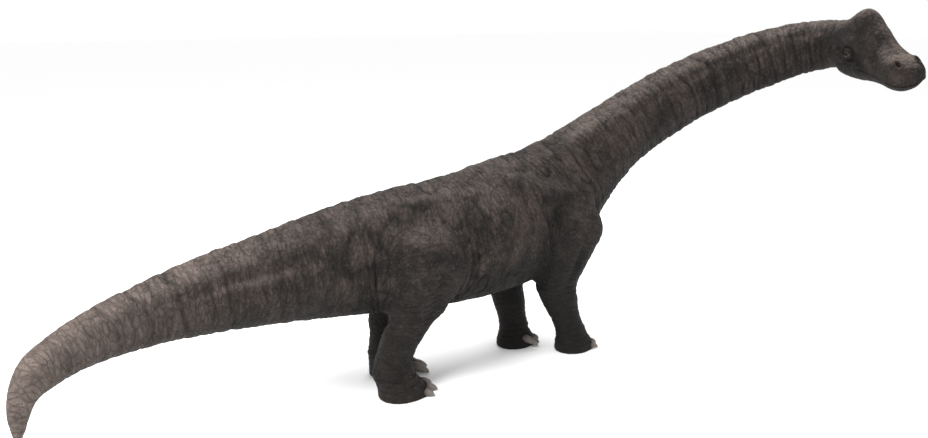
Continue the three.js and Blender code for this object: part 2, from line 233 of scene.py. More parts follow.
# The solids stand centred over the origin: the offset comes from one foot, sampled as its solid is.
footAngles = np.arange(40) / 40 * 2 * np.pi
footZ = np.linspace(0, limbShape["ankleHeight"], 7)[:, None]
footRings = limbSurface("hind_right", footZ, np.cos(footAngles)[None], np.sin(footAngles)[None])
footBox = np.array(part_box("foot_hind_right"))
offset = footBox.mean(0) - (footRings.reshape(-1, 3).min(0) + footRings.reshape(-1, 3).max(0)) / 2
offset[2] = 0
print("offset of the solids", np.round(offset, 4))

# Head: x forwards from the back of the skull, y left, z up.
headShape = {
    "turn": -105,
    "climb": -17,
    "roll": 15,
    "at": [-0.3, 0.06, 0.42, 0.8, 1.15, 1.45, 1.72, 1.92, 2.02, 2.06, 2.08],
    "wide": [0.4, 0.445, 0.49, 0.475, 0.43, 0.42, 0.425, 0.375, 0.285, 0.185, 0.04],
    "up": [0.47, 0.53, 0.55, 0.5, 0.41, 0.35, 0.32, 0.265, 0.195, 0.125, 0.025],
    "down": [0.5, 0.57, 0.6, 0.54, 0.46, 0.41, 0.38, 0.32, 0.235, 0.15, 0.03],
    "middle": [0, 0, 0, 0, -0.01, -0.02, -0.035, -0.05, -0.06, -0.065, -0.07],
    "fullness": 0.86,
    "mouthZ": -0.15,
    "mouthX": 0.86,
    "eye": [0.62, 0.456, 0.13],
    "eyeRadius": 0.118,
}
# Swellings of the head: centre, reach along each axis and how far the skin lifts out.
swellings = [
    [0.53, 0, 0.62, 0.41, 0.29, 0.52, 0.44],  # nasal arch
    [1.04, 0, 0.48, 0.22, 0.24, 0.3, 0.09],  # its foot on the snout
    [0.61, 0.47, 0.345, 0.22, 0.2, 0.09, 0.085],  # brow
    [0.36, 0.48, -0.26, 0.23, 0.3, 0.21, 0.085],  # jaw muscle
    [1.78, 0.23, 0.29, 0.15, 0.11, 0.16, 0.055],  # nostril
    [0.9, 0.47, 0.06, 0.19, 0.2, 0.09, -0.045],  # hollow before the eye
]


def headMatrix():
    turn, climb, roll = [math.radians(headShape[key]) for key in ("turn", "climb", "roll")]
    ahead = math.cos(climb)
    forward = np.array([math.cos(turn) * ahead, math.sin(turn) * ahead, math.sin(climb)])
    level = np.array([-math.sin(turn), math.cos(turn), 0])
    upward = np.cross(forward, level)
    left = level * math.cos(roll) + upward * math.sin(roll)
    return np.stack([forward, left, np.cross(forward, left)]), centreAlong(np.array(nape))


headAxes, headOrigin = headMatrix()


def headSurface(x, c, n):
    full = headShape["fullness"]
    at = headShape["at"]
    high = np.where(n > 0, through(at, headShape["up"], x), through(at, headShape["down"], x))
    y = through(at, headShape["wide"], x) * np.sign(c) * np.abs(c) ** full
    z = through(at, headShape["middle"], x) + high * np.sign(n) * np.abs(n) ** full
    lift = 0
    for sx, sy, sz, along, across, tall, out in swellings:
        away = -((x - sx) / along) ** 2 - ((np.abs(y) - sy) / across) ** 2 - ((z - sz) / tall) ** 2
        lift = lift + out * np.exp(away)
    return np.stack([x + 0 * c, y + lift * c, z + lift * n], -1)


def fromHead(points):
    return points @ headAxes + headOrigin


def toHead(points):
    return (points - headOrigin) @ headAxes.T


# The hide: one closed skin over body, limbs and head, remeshed as one, then sculpted.
skinSettings = {
    "voxel": 0.024,  # of the first coarse skin
    "bodyRings": 520,
    "bodySides": 96,
    "limbRings": 110,
    "limbSides": 72,
    "headRings": 150,
    "headSides": 96,
    "headBack": -0.2,
    "filletReach": 0.34,  # how wide the limbs blend into the trunk
    "filletPasses": 150,
    "headTriangles": 62000,
    "triangles": 192000,
}
# Muscles of the body: s, degrees up the flank (90 is the back), reach in s, reach in degrees, and lift.
bodyMuscles = [
    [0.45, 58, 0.85, 9, 0.085],  # hip bone
    [-0.9, 36, 0.6, 20, 0.05],
    [-2.0, -12, 1.4, 18, 0.1],  # the leg's puller along the tail
    [-2.6, 24, 1.9, 8, -0.06],
    [1.55, 4, 0.4, 32, -0.1],  # hollow before the thigh
    [2.9, -10, 0.8, 34, 0.05],
    [3.3, -38, 0.9, 10, -0.05],
    [4.35, -62, 0.5, 22, 0.06],
    [5.25, 12, 0.5, 20, -0.09],  # hollow before the shoulder
    [5.0, 60, 1.0, 15, 0.06],
]
shoulderBlade = {"low": [4.4, 6], "high": [2.8, 52], "width": 0.23, "lift": 0.1, "degree": 0.021}
# Muscles of the limbs: height, degrees from front to outside, reach in height, reach in degrees, and lift.
hindMuscles = [
    [2.65, 38, 0.55, 32, 0.08],
    [2.35, 82, 0.7, 13, -0.08],
    [2.45, 128, 0.5, 26, 0.09],
    [1.74, 12, 0.17, 34, 0.08],  # kneecap
    [1.5, 75, 0.18, 26, -0.045],
    [1.25, 150, 0.27, 42, 0.08],  # calf
    [0.95, 60, 0.3, 20, -0.03],
    [0.52, 180, 0.12, 40, 0.04],
]
foreMuscles = [
    [2.95, 35, 0.34, 30, 0.08],  # point of the shoulder
    [2.4, 92, 0.55, 12, -0.085],
    [2.35, 138, 0.42, 30, 0.09],
    [1.62, 170, 0.15, 32, 0.085],  # elbow
    [1.62, 80, 0.13, 26, -0.035],
    [1.3, 55, 0.27, 38, 0.06],
    [0.95, 100, 0.25, 18, -0.03],
    [0.52, 10, 0.1, 60, 0.03],
]


def edited(mesh, change):  # a change of the mesh made as a bmesh
    bm = bmesh.new()
    bm.from_mesh(mesh)
    change(bm)
    bm.to_mesh(mesh)
    bm.free()
    mesh.update()
    return mesh


def outwardMesh(points, faces, name):
    mesh = bpy.data.meshes.new(name)
    mesh.from_pydata(points.tolist(), [], faces)
    return edited(mesh, lambda bm: bmesh.ops.recalc_face_normals(bm, faces=bm.faces[:]))


def closedShape(rings, name):
    points, faces = ringMesh(rings)
    return outwardMesh(points, faces, name)


def addObject(data, name):
    piece = bpy.data.objects.new(name, data)
    bpy.context.scene.collection.objects.link(piece)
    return piece


def table(rows, key, across, kind=float):  # one property of every point or edge, a row for each
    values = np.empty(len(rows) * across, dtype=kind)
    rows.foreach_get(key, values)
    return values.reshape(-1, across)


def meshPoints(mesh):
    return table(mesh.vertices, "co", 3)


def meshEdges(mesh):
    return table(mesh.edges, "vertices", 2, np.int32)


def setPoints(mesh, points):
    mesh.vertices.foreach_set("co", np.ascontiguousarray(points, dtype=np.float32).ravel())
    mesh.update()


def addAttribute(mesh, name, values):
    kind = "FLOAT_VECTOR" if values.ndim == 2 else "FLOAT"
    layer = mesh.attributes.new(name, kind, "POINT")
    layer.data.foreach_set("vector" if values.ndim == 2 else "value", values.astype(np.float32).ravel())


# Each point moves towards the mean of its neighbours by its own share.
def relax(points, edges, share, passes):
    active = np.nonzero(share > 0.004)[0]
    inside = np.zeros(len(points), bool)
    inside[active] = True
    ends = edges[inside[edges].any(1)]
    used = np.unique(ends)
    place = np.zeros(len(points), np.int64)
    place[used] = np.arange(len(used))
    ends = place[ends]
    count = len(used)
    part = points[used]
    weight = np.where(inside[used], share[used], 0)[:, None]
    degree = np.maximum(np.bincount(ends.ravel(), minlength=count), 1)[:, None]
    a, b = ends.T
    for _ in range(passes):
        total = [np.bincount(a, part[b, i], count) + np.bincount(b, part[a, i], count) for i in range(3)]
        part = part + (np.stack(total, -1) / degree - part) * weight
    result = points.copy()
    result[used] = part
    return result


# Smooth random field in -1..1: random values on a lattice, blended between the eight corners of a cell.
def field(points, scale, seed):
    p = points * scale + seed * 17.31
    cell = np.floor(p).astype(np.int64)
    f = p - cell
    u = f * f * (3 - 2 * f)
    total = 0
    for corner in range(8):
        d = np.array([corner & 1, corner >> 1 & 1, corner >> 2])
        q = (cell + d).astype(np.uint64)
        h = q[:, 0] * np.uint64(73856093) ^ q[:, 1] * np.uint64(19349663) ^ q[:, 2] * np.uint64(83492791)
        h = (h ^ (h >> np.uint64(13))) * np.uint64(1274126177 + 2 * seed)
        h = (h ^ (h >> np.uint64(16))) & np.uint64(0xFFFF)
        total = total + (h / 32767.5 - 1) * np.prod(np.where(d == 1, u, 1 - u), -1)
    return total


# Branching furrows, 0..1: high where a smooth field crosses zero.
def furrows(points, scale, seed, sharp=9):
    value = field(points, scale, seed) + 0.45 * field(points, scale * 2.1, seed + 1)
    return np.exp(-(value * sharp) ** 2)


def softStep(low, high, value):
    t = np.clip((value - low) / (high - low), 0, 1)
    return t * t * (3 - 2 * t)


def plateau(value, low, full, end, gone):  # rises from low to full and falls from end to gone
    return softStep(low, full, value) * (1 - softStep(end, gone, value))


def bell(value, middle, reach):
    return np.exp(-((value - middle) / reach) ** 2)


def bellAngle(angle, middle, reach):
    return np.exp(-(((angle - middle + 540) % 360 - 180) / reach) ** 2)


# Creases: narrow valleys at uneven steps along a value, each with its own depth.
def creases(value, step, width, points, seed, wander=0.3):
    phase = value / step + wander * field(points, 1.6, seed)
    line = np.round(phase)
    depth = 0.4 + 0.6 * (np.abs(np.sin(line * 12.9898 + seed) * 437.585) % 1)
    return bell((phase - line) * step, 0, width) * depth


# Where points lie along the body: s, and the shares of the section's half width and half height.
def bodyCoordinates(points):
    knots = np.arange(tailTip, nape + 0.05, 0.1)
    centres = centreAlong(knots).astype(np.float32)
    nearest = np.empty(len(points), dtype=np.int64)
    step = 60000
    for start in range(0, len(points), step):
        part = points[start:start + step].astype(np.float32)
        away = (part ** 2).sum(1)[:, None] - 2 * part @ centres.T + (centres ** 2).sum(1)[None]
        nearest[start:start + step] = away.argmin(1)
    s = knots[nearest]
    for _ in range(2):
        s = np.clip(s + ((points - centreAlong(s)) * forwardAlong(s)).sum(1), tailTip, nape)
    left = leftAlong(s)
    upward = np.cross(forwardAlong(s), left)
    rest = points - centreAlong(s)
    across = (rest * left).sum(1)
    up = (rest * upward).sum(1)
    high = np.where(up > 0, alongBody("up", s), alongBody("down", s))
    return s, across, up, across / alongBody("wide", s), up / high


# The share of the slice's radius and the angle from the front to the outside, both for one limb.
def limbCoordinates(points, name):
    top = limbRows(name)[-1, 0]
    x, y, long, wide = limbSlice(name, np.clip(points[:, 2], 0, top))
    c = (points[:, 0] - x) / long
    n = (points[:, 1] - y) / wide
    over = np.maximum(points[:, 2] - top, 0) * 4
    return np.hypot(c, n) + over, np.degrees(np.arctan2(n, c)) * limbPlaces[name]["side"]


def applied(piece):
    view = bpy.context.evaluated_depsgraph_get()
    view.update()
    mesh = bpy.data.meshes.new_from_object(piece.evaluated_get(view))
    old = piece.data
    piece.modifiers.clear()
    piece.data = mesh
    bpy.data.meshes.remove(old)
    return piece


# Leaves only the largest island: each point takes the least number of its neighbours until none changes.
def dropIslands(mesh):
    edges = meshEdges(mesh)
    before = None
    label = np.arange(len(mesh.vertices))
    while before is None or (label != before).any():
        before = label.copy()
        least = label[edges].min(1)
        np.minimum.at(label, before[edges[:, 0]], least)
        np.minimum.at(label, before[edges[:, 1]], least)
        label = label[label]
    stray = np.nonzero(label != np.bincount(label).argmax())[0].tolist()

    def dropStray(bm):
        bm.verts.ensure_lookup_table()
        bmesh.ops.delete(bm, geom=[bm.verts[i] for i in stray], context="VERTS")

    edited(mesh, dropStray)
    print("dropped", len(stray), "points of inner pockets")


def coarseSkin():
    settings = skinSettings
    c, n = aroundRing(settings["bodySides"])
    s = np.linspace(tailTip, nape, settings["bodyRings"])[:, None]
    shapes = [bodySurface(s, c[None], n[None])]
    c, n = aroundRing(settings["limbSides"])
    for name in limbPlaces:
        z = np.linspace(0, limbRows(name)[-1, 0], settings["limbRings"])[:, None]
        shapes.append(limbSurface(name, z, c[None], n[None]))
    c, n = aroundRing(settings["headSides"])
    t = np.linspace(0, 1, settings["headRings"])[:, None]
    x = settings["headBack"] + (headShape["at"][-1] - settings["headBack"]) * np.sin(t * np.pi / 2) ** 0.8
    shapes.append(fromHead(headSurface(x, c[None], n[None])))
    bm = bmesh.new()
    for rings in shapes:
        part = closedShape(rings, "part")
        bm.from_mesh(part)
        bpy.data.meshes.remove(part)
    mesh = bpy.data.meshes.new("skin")
    bm.to_mesh(mesh)
    bm.free()
    skin = addObject(mesh, "skin")
    remesh = skin.modifiers.new("remesh", "REMESH")
    remesh.mode = "VOXEL"
    remesh.voxel_size = settings["voxel"]
    applied(skin)
    dropIslands(skin.data)
    return skin


def splitEdges(mesh, chosen):  # cuts in half every edge with both ends chosen
    inside = np.nonzero(chosen[meshEdges(mesh)].all(1))[0].tolist()

    def cut(bm):
        bm.edges.ensure_lookup_table()
        bmesh.ops.subdivide_edges(bm, edges=[bm.edges[i] for i in inside], cuts=1, use_grid_fill=True)

    edited(mesh, cut)


def nearFace(points):  # where the head needs the finest faces: eyes, mouth, nostrils, ears
    x, y, z = toHead(points).T
    y = np.abs(y)
    eye = headShape["eye"]
    byEye = np.hypot(x - eye[0], z - eye[2]) < 0.22
    byMouth = (np.abs(z - headShape["mouthZ"]) < 0.08) & (x > headShape["mouthX"] - 0.1)
    byNostril = (np.hypot(x - nostril["x"], y - nostril["y"]) < 0.13) & (z > 0.1)
    byEar = np.hypot(x - ear["x"], z - ear["z"]) < 0.12
    fine = (byEye | byEar) & (y > 0.3) | byMouth | byNostril
    return (x > 0.1) & (y < 0.8) & (z > -0.6) & fine


nostril = {"x": 1.815, "y": 0.235, "long": 0.062, "wide": 0.036, "depth": 0.085, "rim": 0.016}
ear = {"x": 0.25, "z": 0.09, "long": 0.042, "tall": 0.055, "depth": 0.06, "rim": 0.012}
lips = {"depth": 0.045, "width": 0.019, "upper": 0.014, "lower": 0.006, "jawInset": 0.028}
lids = {"long": 0.108, "upper": 0.08, "lower": 0.064, "socket": 1.13, "skin": 0.01}


def fromNostril(x, y):  # in the nostril's own half lengths
    return np.hypot((x - nostril["x"]) / nostril["long"], (np.abs(y) - nostril["y"]) / nostril["wide"])


# Lifts of the body's skin: muscle bells, the spine's ridge, ribs, bones of the neck, creases and furrows.
def bodyLift(points, s, across, up, c, n):
    flank = np.degrees(np.arctan2(n, np.abs(c)))
    straight = np.stack([s, across, up], -1)
    girth = (alongBody("wide", s) + alongBody("up", s)) / 2
    lift = 0 * s
    for at, angle, along, around, out in bodyMuscles:
        lift += out * bell(s, at, along) * bell(flank, angle, around)
    low, high = np.array(shoulderBlade["low"]), np.array(shoulderBlade["high"])
    scale = np.array([1, shoulderBlade["degree"]])
    place = (np.stack([s, flank], -1) - low) * scale
    run = (high - low) * scale
    t = np.clip((place @ run) / (run @ run), 0, 1)
    away = np.linalg.norm(place - t[:, None] * run, axis=1)
    lift += shoulderBlade["lift"] * bell(away, 0, shoulderBlade["width"])
    trunk = plateau(s, -6.5, -5, 11, 12)
    knobs = 0.75 + 0.25 * np.cos(2 * np.pi * s / 0.37)
    lift += 0.05 * girth ** 0.5 * knobs * bell(flank, 90, 9) * trunk
    lift -= 0.012 * bell(flank, 66, 10) * trunk
    ribs = plateau(s, 1.3, 1.9, 3.4, 4.0) * bell(flank, 2, 30)
    lift += 0.012 * np.sin(2 * np.pi * (s + flank * 0.004) / 0.34) * ribs
    neck = plateau(s, 5.2, 6.6, 11.6, 12.3)
    bones = 0.022 * np.cos(2 * np.pi * (s - 5.5) / 0.66) * bell(flank, 2, 20)
    lift += neck * (bones - 0.022 * bell(flank, 30, 9) - 0.02 * bell(flank, -42, 11))
    lift += neck * 0.02 * bell(flank, -78, 16)
    bend = np.abs(forwardAlong(s + 0.3) - forwardAlong(s - 0.3)).sum(1)
    inner = 1 + 1.2 * np.clip(bend * 4, 0, 1) * softStep(0.1, 0.9, -c) + 0.7 * softStep(0.1, 0.9, -n)
    onNeck = softStep(4.9, 6.2, s)
    onTail = 1 - softStep(-2.6, -1.0, s)
    rings = creases(s + 0.05 * n, 0.31, 0.042, points, 3, 0.42)
    fine = creases(s - 0.08 * n, 0.15, 0.022, points, 5, 0.6)
    crease = (onNeck * inner * 0.5 + onTail * 0.62) * rings + (onNeck * 0.35 * inner + onTail * 0.4) * fine
    squeezed = straight * np.array([1.9, 0.8, 0.8])
    net = furrows(squeezed, 1.5, 11, 8) * 0.8 + furrows(squeezed, 3.2, 14, 7) * 0.6
    flanks = plateau(s, -2.4, -0.6, 5.0, 6.4)
    crease += net * (0.35 + 0.55 * flanks)
    belly = softStep(0.1, 0.8, -n) * flanks
    crease += belly * 0.4 * creases(s, 0.17, 0.02, points, 8, 0.6)
    return lift, crease * np.clip(girth / 0.6, 0.35, 1)


def limbLift(points, name, outward):
    z = points[:, 2]
    hind = name.startswith("hind")
    lift = 0 * z
    for at, angle, tall, around, out in hindMuscles if hind else foreMuscles:
        lift += out * bell(z, at, tall) * bellAngle(outward, angle, around)
    bend = limbShape["kneeHeight"] if hind else limbShape["elbowHeight"]
    wrist = limbShape["ankleHeight"] if hind else limbShape["wristHeight"]
    folds = 0.45 * bell(z, bend - 0.05, 0.42) + 0.8 * bell(z, wrist - 0.1, 0.24) + 0.18
    tilt = z + 0.05 * np.sin(np.radians(outward))
    rings = creases(tilt, 0.13, 0.018, points, 21, 0.5)
    crease = folds * (0.8 * rings + 0.5 * creases(tilt, 0.071, 0.01, points, 23, 0.7))
    squeezed = points * np.array([0.85, 0.85, 1.7])
    net = 0.3 * furrows(squeezed, 2.0, 25, 8) + 0.4 * furrows(squeezed, 4.2, 27, 7)
    crease += net * softStep(0.06, 0.3, z)
    toes = sorted(limbPlaces[name]["toes"])
    between = sum(bellAngle(-outward, (a + b) / 2, 3.2) for a, b in zip(toes[:-1], toes[1:]))
    lift += 0.014 * bell(z, 0.04, 0.075)
    crease += 1.3 * between * bell(z, 0.1, 0.14)
    return lift, crease


# The head's own lifts, in head coordinates, with the same on both sides.
def headLift(points):
    x, y, z = points.T
    y = np.abs(y)
    eye = headShape["eye"]
    mouthLine = headShape["mouthZ"] + 0.012 * np.sin((x - 0.9) * 3.1) + 0.03 * (1 - softStep(0.8, 1.02, x))
    front = softStep(headShape["mouthX"] - 0.05, headShape["mouthX"] + 0.06, x)
    lift = 0 * x
    lift -= lips["depth"] * bell(z, mouthLine, lips["width"]) * front
    lift += lips["upper"] * bell(z, mouthLine + 0.042, 0.026) * front
    lift += lips["lower"] * bell(z, mouthLine - 0.04, 0.024) * front
    lift -= lips["jawInset"] * (1 - softStep(-0.03, 0.0, z - mouthLine)) * front * softStep(-0.6, -0.35, z)
    corner = np.hypot(x - headShape["mouthX"] + 0.03, (z - mouthLine + 0.02) * 0.8)
    lift += 0.018 * bell(corner, 0.085, 0.03) * (x < headShape["mouthX"] + 0.05) * (y > 0.2)
    onTop = softStep(0.1, 0.2, z)
    hole = fromNostril(x, y)
    lift -= nostril["depth"] * bell(hole, 0, 0.85) * onTop
    lift += nostril["rim"] * bell(hole, 1.45, 0.4) * onTop
    side = softStep(0.25, 0.35, y)
    pit = np.hypot((x - ear["x"]) / ear["long"], (z - ear["z"]) / ear["tall"])
    lift -= ear["depth"] * bell(pit, 0, 0.8) * side
    lift += ear["rim"] * bell(pit, 1.5, 0.4) * side
    around = np.hypot((x - eye[0]) / 1.15, z - eye[2])
    lift -= 0.016 * bell(around, 0.15, 0.022) * side
    lift += 0.01 * bell(around, 0.19, 0.025) * side
    lift -= 0.012 * bell(around, 0.235, 0.016) * side * softStep(0, 0.1, eye[2] - z + 0.05)
    wide = np.stack([x, y * 0.9, z], -1)
    crease = 0.35 * furrows(wide, 5.5, 31, 7) + 0.3 * furrows(wide, 11, 33, 6)
    throat = (1 - softStep(-0.42, -0.25, z)) * (1 - softStep(0.75, 1.1, x))
    crease += throat * 0.9 * creases(x + 0.3 * y, 0.1, 0.014, points, 35, 0.4)
    crease += 0.7 * creases(x - 0.2 * z, 0.12, 0.015, points, 37, 0.4) * (1 - softStep(0.15, 0.4, x))
    snout = softStep(1.0, 1.3, x) * softStep(0.0, 0.2, z)
    crease += 0.35 * snout * creases(x + 0.25 * y, 0.085, 0.01, points, 39, 0.5)
    return lift, crease


# Skin over the eyeball: outside the lids it wraps the ball, inside their opening it lies behind it.
def wrapEyes(points):
    x, y, z = points.T
    side = np.where(y > 0, 1, -1)
    eye = headShape["eye"]
    dx, dz = x - eye[0], z - eye[2]
    ball = headShape["eyeRadius"] + lids["skin"]
    dome = eye[1] + np.sqrt(np.maximum(ball ** 2 - dx ** 2 - dz ** 2, 0))
    near = (np.abs(y) > 0.25) & (np.hypot(dx, dz) < 0.3)
    gap = np.abs(y) - dome
    inside = np.hypot(dx, dz) < ball
    lifted = np.where(inside, dome + (gap + np.sqrt(gap ** 2 + 0.03 ** 2)) / 2 - 0.006, np.abs(y))
    tall = np.where(dz > 0, lids["upper"], lids["lower"])
    opening = np.hypot(dx / (lids["long"] * lids["socket"]), dz / (tall * lids["socket"]))
    hollow = 1 - softStep(0.86, 1.0, opening)
    lifted = lifted * (1 - hollow) + (eye[1] + 0.02) * hollow
    result = points.copy()
    result[:, 1] = np.where(near, side * lifted, y)
    return result


# Darkening of the skin: painted shadow on the lower ribs and behind the elbows, painted shade in the
# nostrils, and darker skin round the eyes, on the lower jaw and over the claws' roots.
paintedShadeAndDark = {"eye": 0.9, "jaw": 0.5, "chest": 0.75, "claw": 0.9, "nostril": 0.7}


def paintShadeAndDark(points, s, c, n):
    x, y, z = toHead(points).T
    high = softStep(4.6, 5.4, points[:, 2]) * (x > -0.1)
    eye = headShape["eye"]
    ring = np.hypot((x - eye[0] - 0.03) / 1.3, z - eye[2])
    streak = bell(z - eye[2] + 0.3 * (x - eye[0]), -0.03, 0.06) * plateau(x, 0.55, 0.8, 1.0, 1.5)
    side = softStep(0.2, 0.35, np.abs(y))
    belowMouth = 1 - softStep(-0.04, 0.01, z - headShape["mouthZ"])
    jaw = belowMouth * softStep(headShape["mouthX"] - 0.2, headShape["mouthX"] + 0.1, x)
    dark = paintedShadeAndDark["eye"] * np.maximum(bell(ring, 0.06, 0.15), 0.6 * streak) * side
    # painted shade in the nostrils, fading out round them
    dark = np.maximum(dark, paintedShadeAndDark["nostril"] * bell(fromNostril(x, y), 0, 1.6) * (z > 0.1))
    dark = np.maximum(dark, paintedShadeAndDark["jaw"] * jaw) * high
    flank = np.degrees(np.arctan2(n, np.abs(c)))
    # painted shadow on the lower ribs and behind the elbows
    ribCage = plateau(s, 1.3, 2.0, 3.8, 4.5) * (1 - softStep(-34, -10, flank))
    behindElbow = bell(s, 3.5 + 0.006 * flank, 0.36) * bell(flank, -4, 32)
    dark = dark + paintedShadeAndDark["chest"] * np.maximum(ribCage, behindElbow) * (1 - high)
    for name in limbPlaces:
        toes = np.radians(limbToes(name))
        for rim in limbSurface(name, 0.16 + 0 * toes, np.cos(toes), np.sin(toes)):
            away = np.linalg.norm((points - rim) * [1, 1, 0.8], axis=1)
            dark = np.maximum(dark, paintedShadeAndDark["claw"] * bell(away, 0.06, 0.11))
    return dark


def sculptSkin(skin):
    mesh = skin.data
    points = meshPoints(mesh)
    headX = toHead(points)[:, 0]
    splitEdges(mesh, (headX > -0.02) & (points[:, 2] > 4) | (points[:, 2] < 0.34))
    splitEdges(mesh, nearFace(meshPoints(mesh)))
    edges = meshEdges(mesh)
    points = relax(meshPoints(mesh), edges, np.full(len(mesh.vertices), 0.5), 4)
    s, across, up, c, n = bodyCoordinates(points)
    rhoBody = np.hypot(c, n) + np.maximum(toHead(points)[:, 0], 0) * 3 * (points[:, 2] > 5)
    limbs = {name: limbCoordinates(points, name) for name in limbPlaces}
    rhoLimb = np.min([rho for rho, _ in limbs.values()], 0)
    junction = bell(rhoBody - rhoLimb, 0, skinSettings["filletReach"]) * softStep(0.7, 1.1, points[:, 2])
    hx = toHead(points)[:, 0]
    high = points[:, 2] > 5
    throat = bell(hx, 0.02, 0.16) * high
    points = relax(points, edges, np.maximum(junction, throat) * 0.5, skinSettings["filletPasses"])
    setPoints(mesh, points)
    normals = table(mesh.vertex_normals, "vector", 3)
    print("smooth skin,", len(points), "points")

    onHead = softStep(-0.12, 0.1, hx) * high
    limbShare = np.clip(0.5 + (rhoBody - rhoLimb) * 2.5, 0, 1) * (1 - high)
    lift, crease = bodyLift(points, s, across, up, c, n)
    lift = lift * (1 - onHead) * (1 - limbShare)
    crease = crease * (1 - onHead) * (1 - limbShare)
    for name, (rho, outward) in limbs.items():
        mine = limbShare * (rho <= rhoLimb)
        some = np.nonzero(mine > 0.001)[0]
        out, fold = limbLift(points[some], name, outward[some])
        lift[some] += out * mine[some]
        crease[some] += fold * mine[some]
        body = bell(rho, 1.36, 0.24) * (1 - limbShare) * softStep(-0.3, 0.3, 0.35 - n)
        crease += 1.5 * body * creases(rho, 0.17, 0.032, points, 29, 0.3)
    out, fold = headLift(toHead(points))
    lift += out * onHead
    crease += fold * onHead
    crease = np.clip(crease, 0, 1.7)
    bumps = 0.012 * field(points, 2.1, 41) + 0.006 * field(points, 5.3, 43)
    lift += bumps * (1 - 0.75 * onHead)
    depth = 0.028 * (1 - onHead) + 0.01 * onHead
    flat = softStep(0.0, 0.05, points[:, 2])
    points = points + normals * ((lift - crease * depth) * (0.25 + 0.75 * flat))[:, None]
    face = toHead(points)
    points = np.where((onHead > 0.5)[:, None], fromHead(wrapEyes(face)), points)
    points = relax(points, edges, np.full(len(points), 0.25), 1)
    points[:, 2] = np.maximum(points[:, 2], 0)
    setPoints(mesh, points + offset)
    attributes = {
        "lie": np.stack([s, across, up], -1),
        # crease also sets the painted shade in the creases
        "crease": crease,
        # darkening: painted shadow and shade, and darker skin
        "darkening": paintShadeAndDark(points, s, c, n),
        "limb": limbShare,
        "face": onHead,
        # under: for painted shade, darker towards the underside
        "under": np.clip(-n, 0, 1) * (1 - onHead),
    }
    for name, values in attributes.items():
        addAttribute(mesh, name, values)
    return onHead


def decimate(skin, group, ratio):
    tool = skin.modifiers.new("decimate", "DECIMATE")
    tool.ratio = ratio
    tool.use_collapse_triangulate = True
    tool.vertex_group = group
    applied(skin)


def thinSkin(skin, onHead):  # first the body's faces are merged, then the head's
    mesh = skin.data
    head = onHead > 0.5
    for name, chosen in (("headPart", head), ("bodyPart", ~head)):
        skin.vertex_groups.new(name=name).add(np.nonzero(chosen)[0].tolist(), 1, "ADD")
    headShare = head[meshEdges(mesh)].all(1).mean()
    total = sum(len(p.vertices) - 2 for p in mesh.polygons)
    bodyWant = skinSettings["triangles"] - skinSettings["headTriangles"]
    decimate(skin, "bodyPart", (total * headShare + bodyWant) / total)
    print("thinned body,", len(skin.data.polygons), "faces")
    decimate(skin, "headPart", skinSettings["triangles"] / len(skin.data.polygons))
    skin.vertex_groups.clear()
    print("thinned skin,", len(skin.data.polygons), "faces")


def makeSkin():
    skin = coarseSkin()
    print("coarse skin,", len(skin.data.vertices), "points")
    onHead = sculptSkin(skin)
    thinSkin(skin, onHead)
    skin.data.shade_smooth()
    return skin


skin = makeSkin()

# Eyeballs: a ball round its own gaze axis, with the clear front raised over the iris.
eyeSettings = {"rings": 40, "around": 64, "gazeForward": 14, "bulge": 0.05}


def eyeFrame(side):
    turn = math.radians(eyeSettings["gazeForward"])
    gaze = np.array([math.sin(turn), side * math.cos(turn), 0])
    level = np.array([math.cos(turn), -side * math.sin(turn), 0])
    return np.stack([gaze, level, np.cross(gaze, level)])


def makeEye(side, name):
    radius = headShape["eyeRadius"]
    turn = np.linspace(0.02, np.pi - 0.02, eyeSettings["rings"])[:, None]
    c, n = aroundRing(eyeSettings["around"])
    out = radius * (1 + eyeSettings["bulge"] * bell(turn, 0, 0.45))
    rings = np.stack([out * np.cos(turn) + 0 * c, out * np.sin(turn) * c, out * np.sin(turn) * n], -1)
    centre = np.array(headShape["eye"]) * [1, side, 1]
    points = fromHead(rings @ eyeFrame(side) + centre) + offset
    mesh = closedShape(points, name)
    gaze = np.degrees(np.broadcast_to(turn, rings.shape[:2])).ravel() / 90
    addAttribute(mesh, "gaze", np.concatenate([gaze, [0, 2]]))
    mesh.shade_smooth()
    return addObject(mesh, name)


# Eyelids: a flattened tube carried round an almond on the eyeball; the upper lid is the thicker one.
lidSettings = {
    "around": 96,
    "tube": 20,
    "upper": 0.019,
    "lower": 0.013,
    "corner": 0.008,
    "width": 0.03,
    "gap": 0.004,  # between lid line and eyeball
}


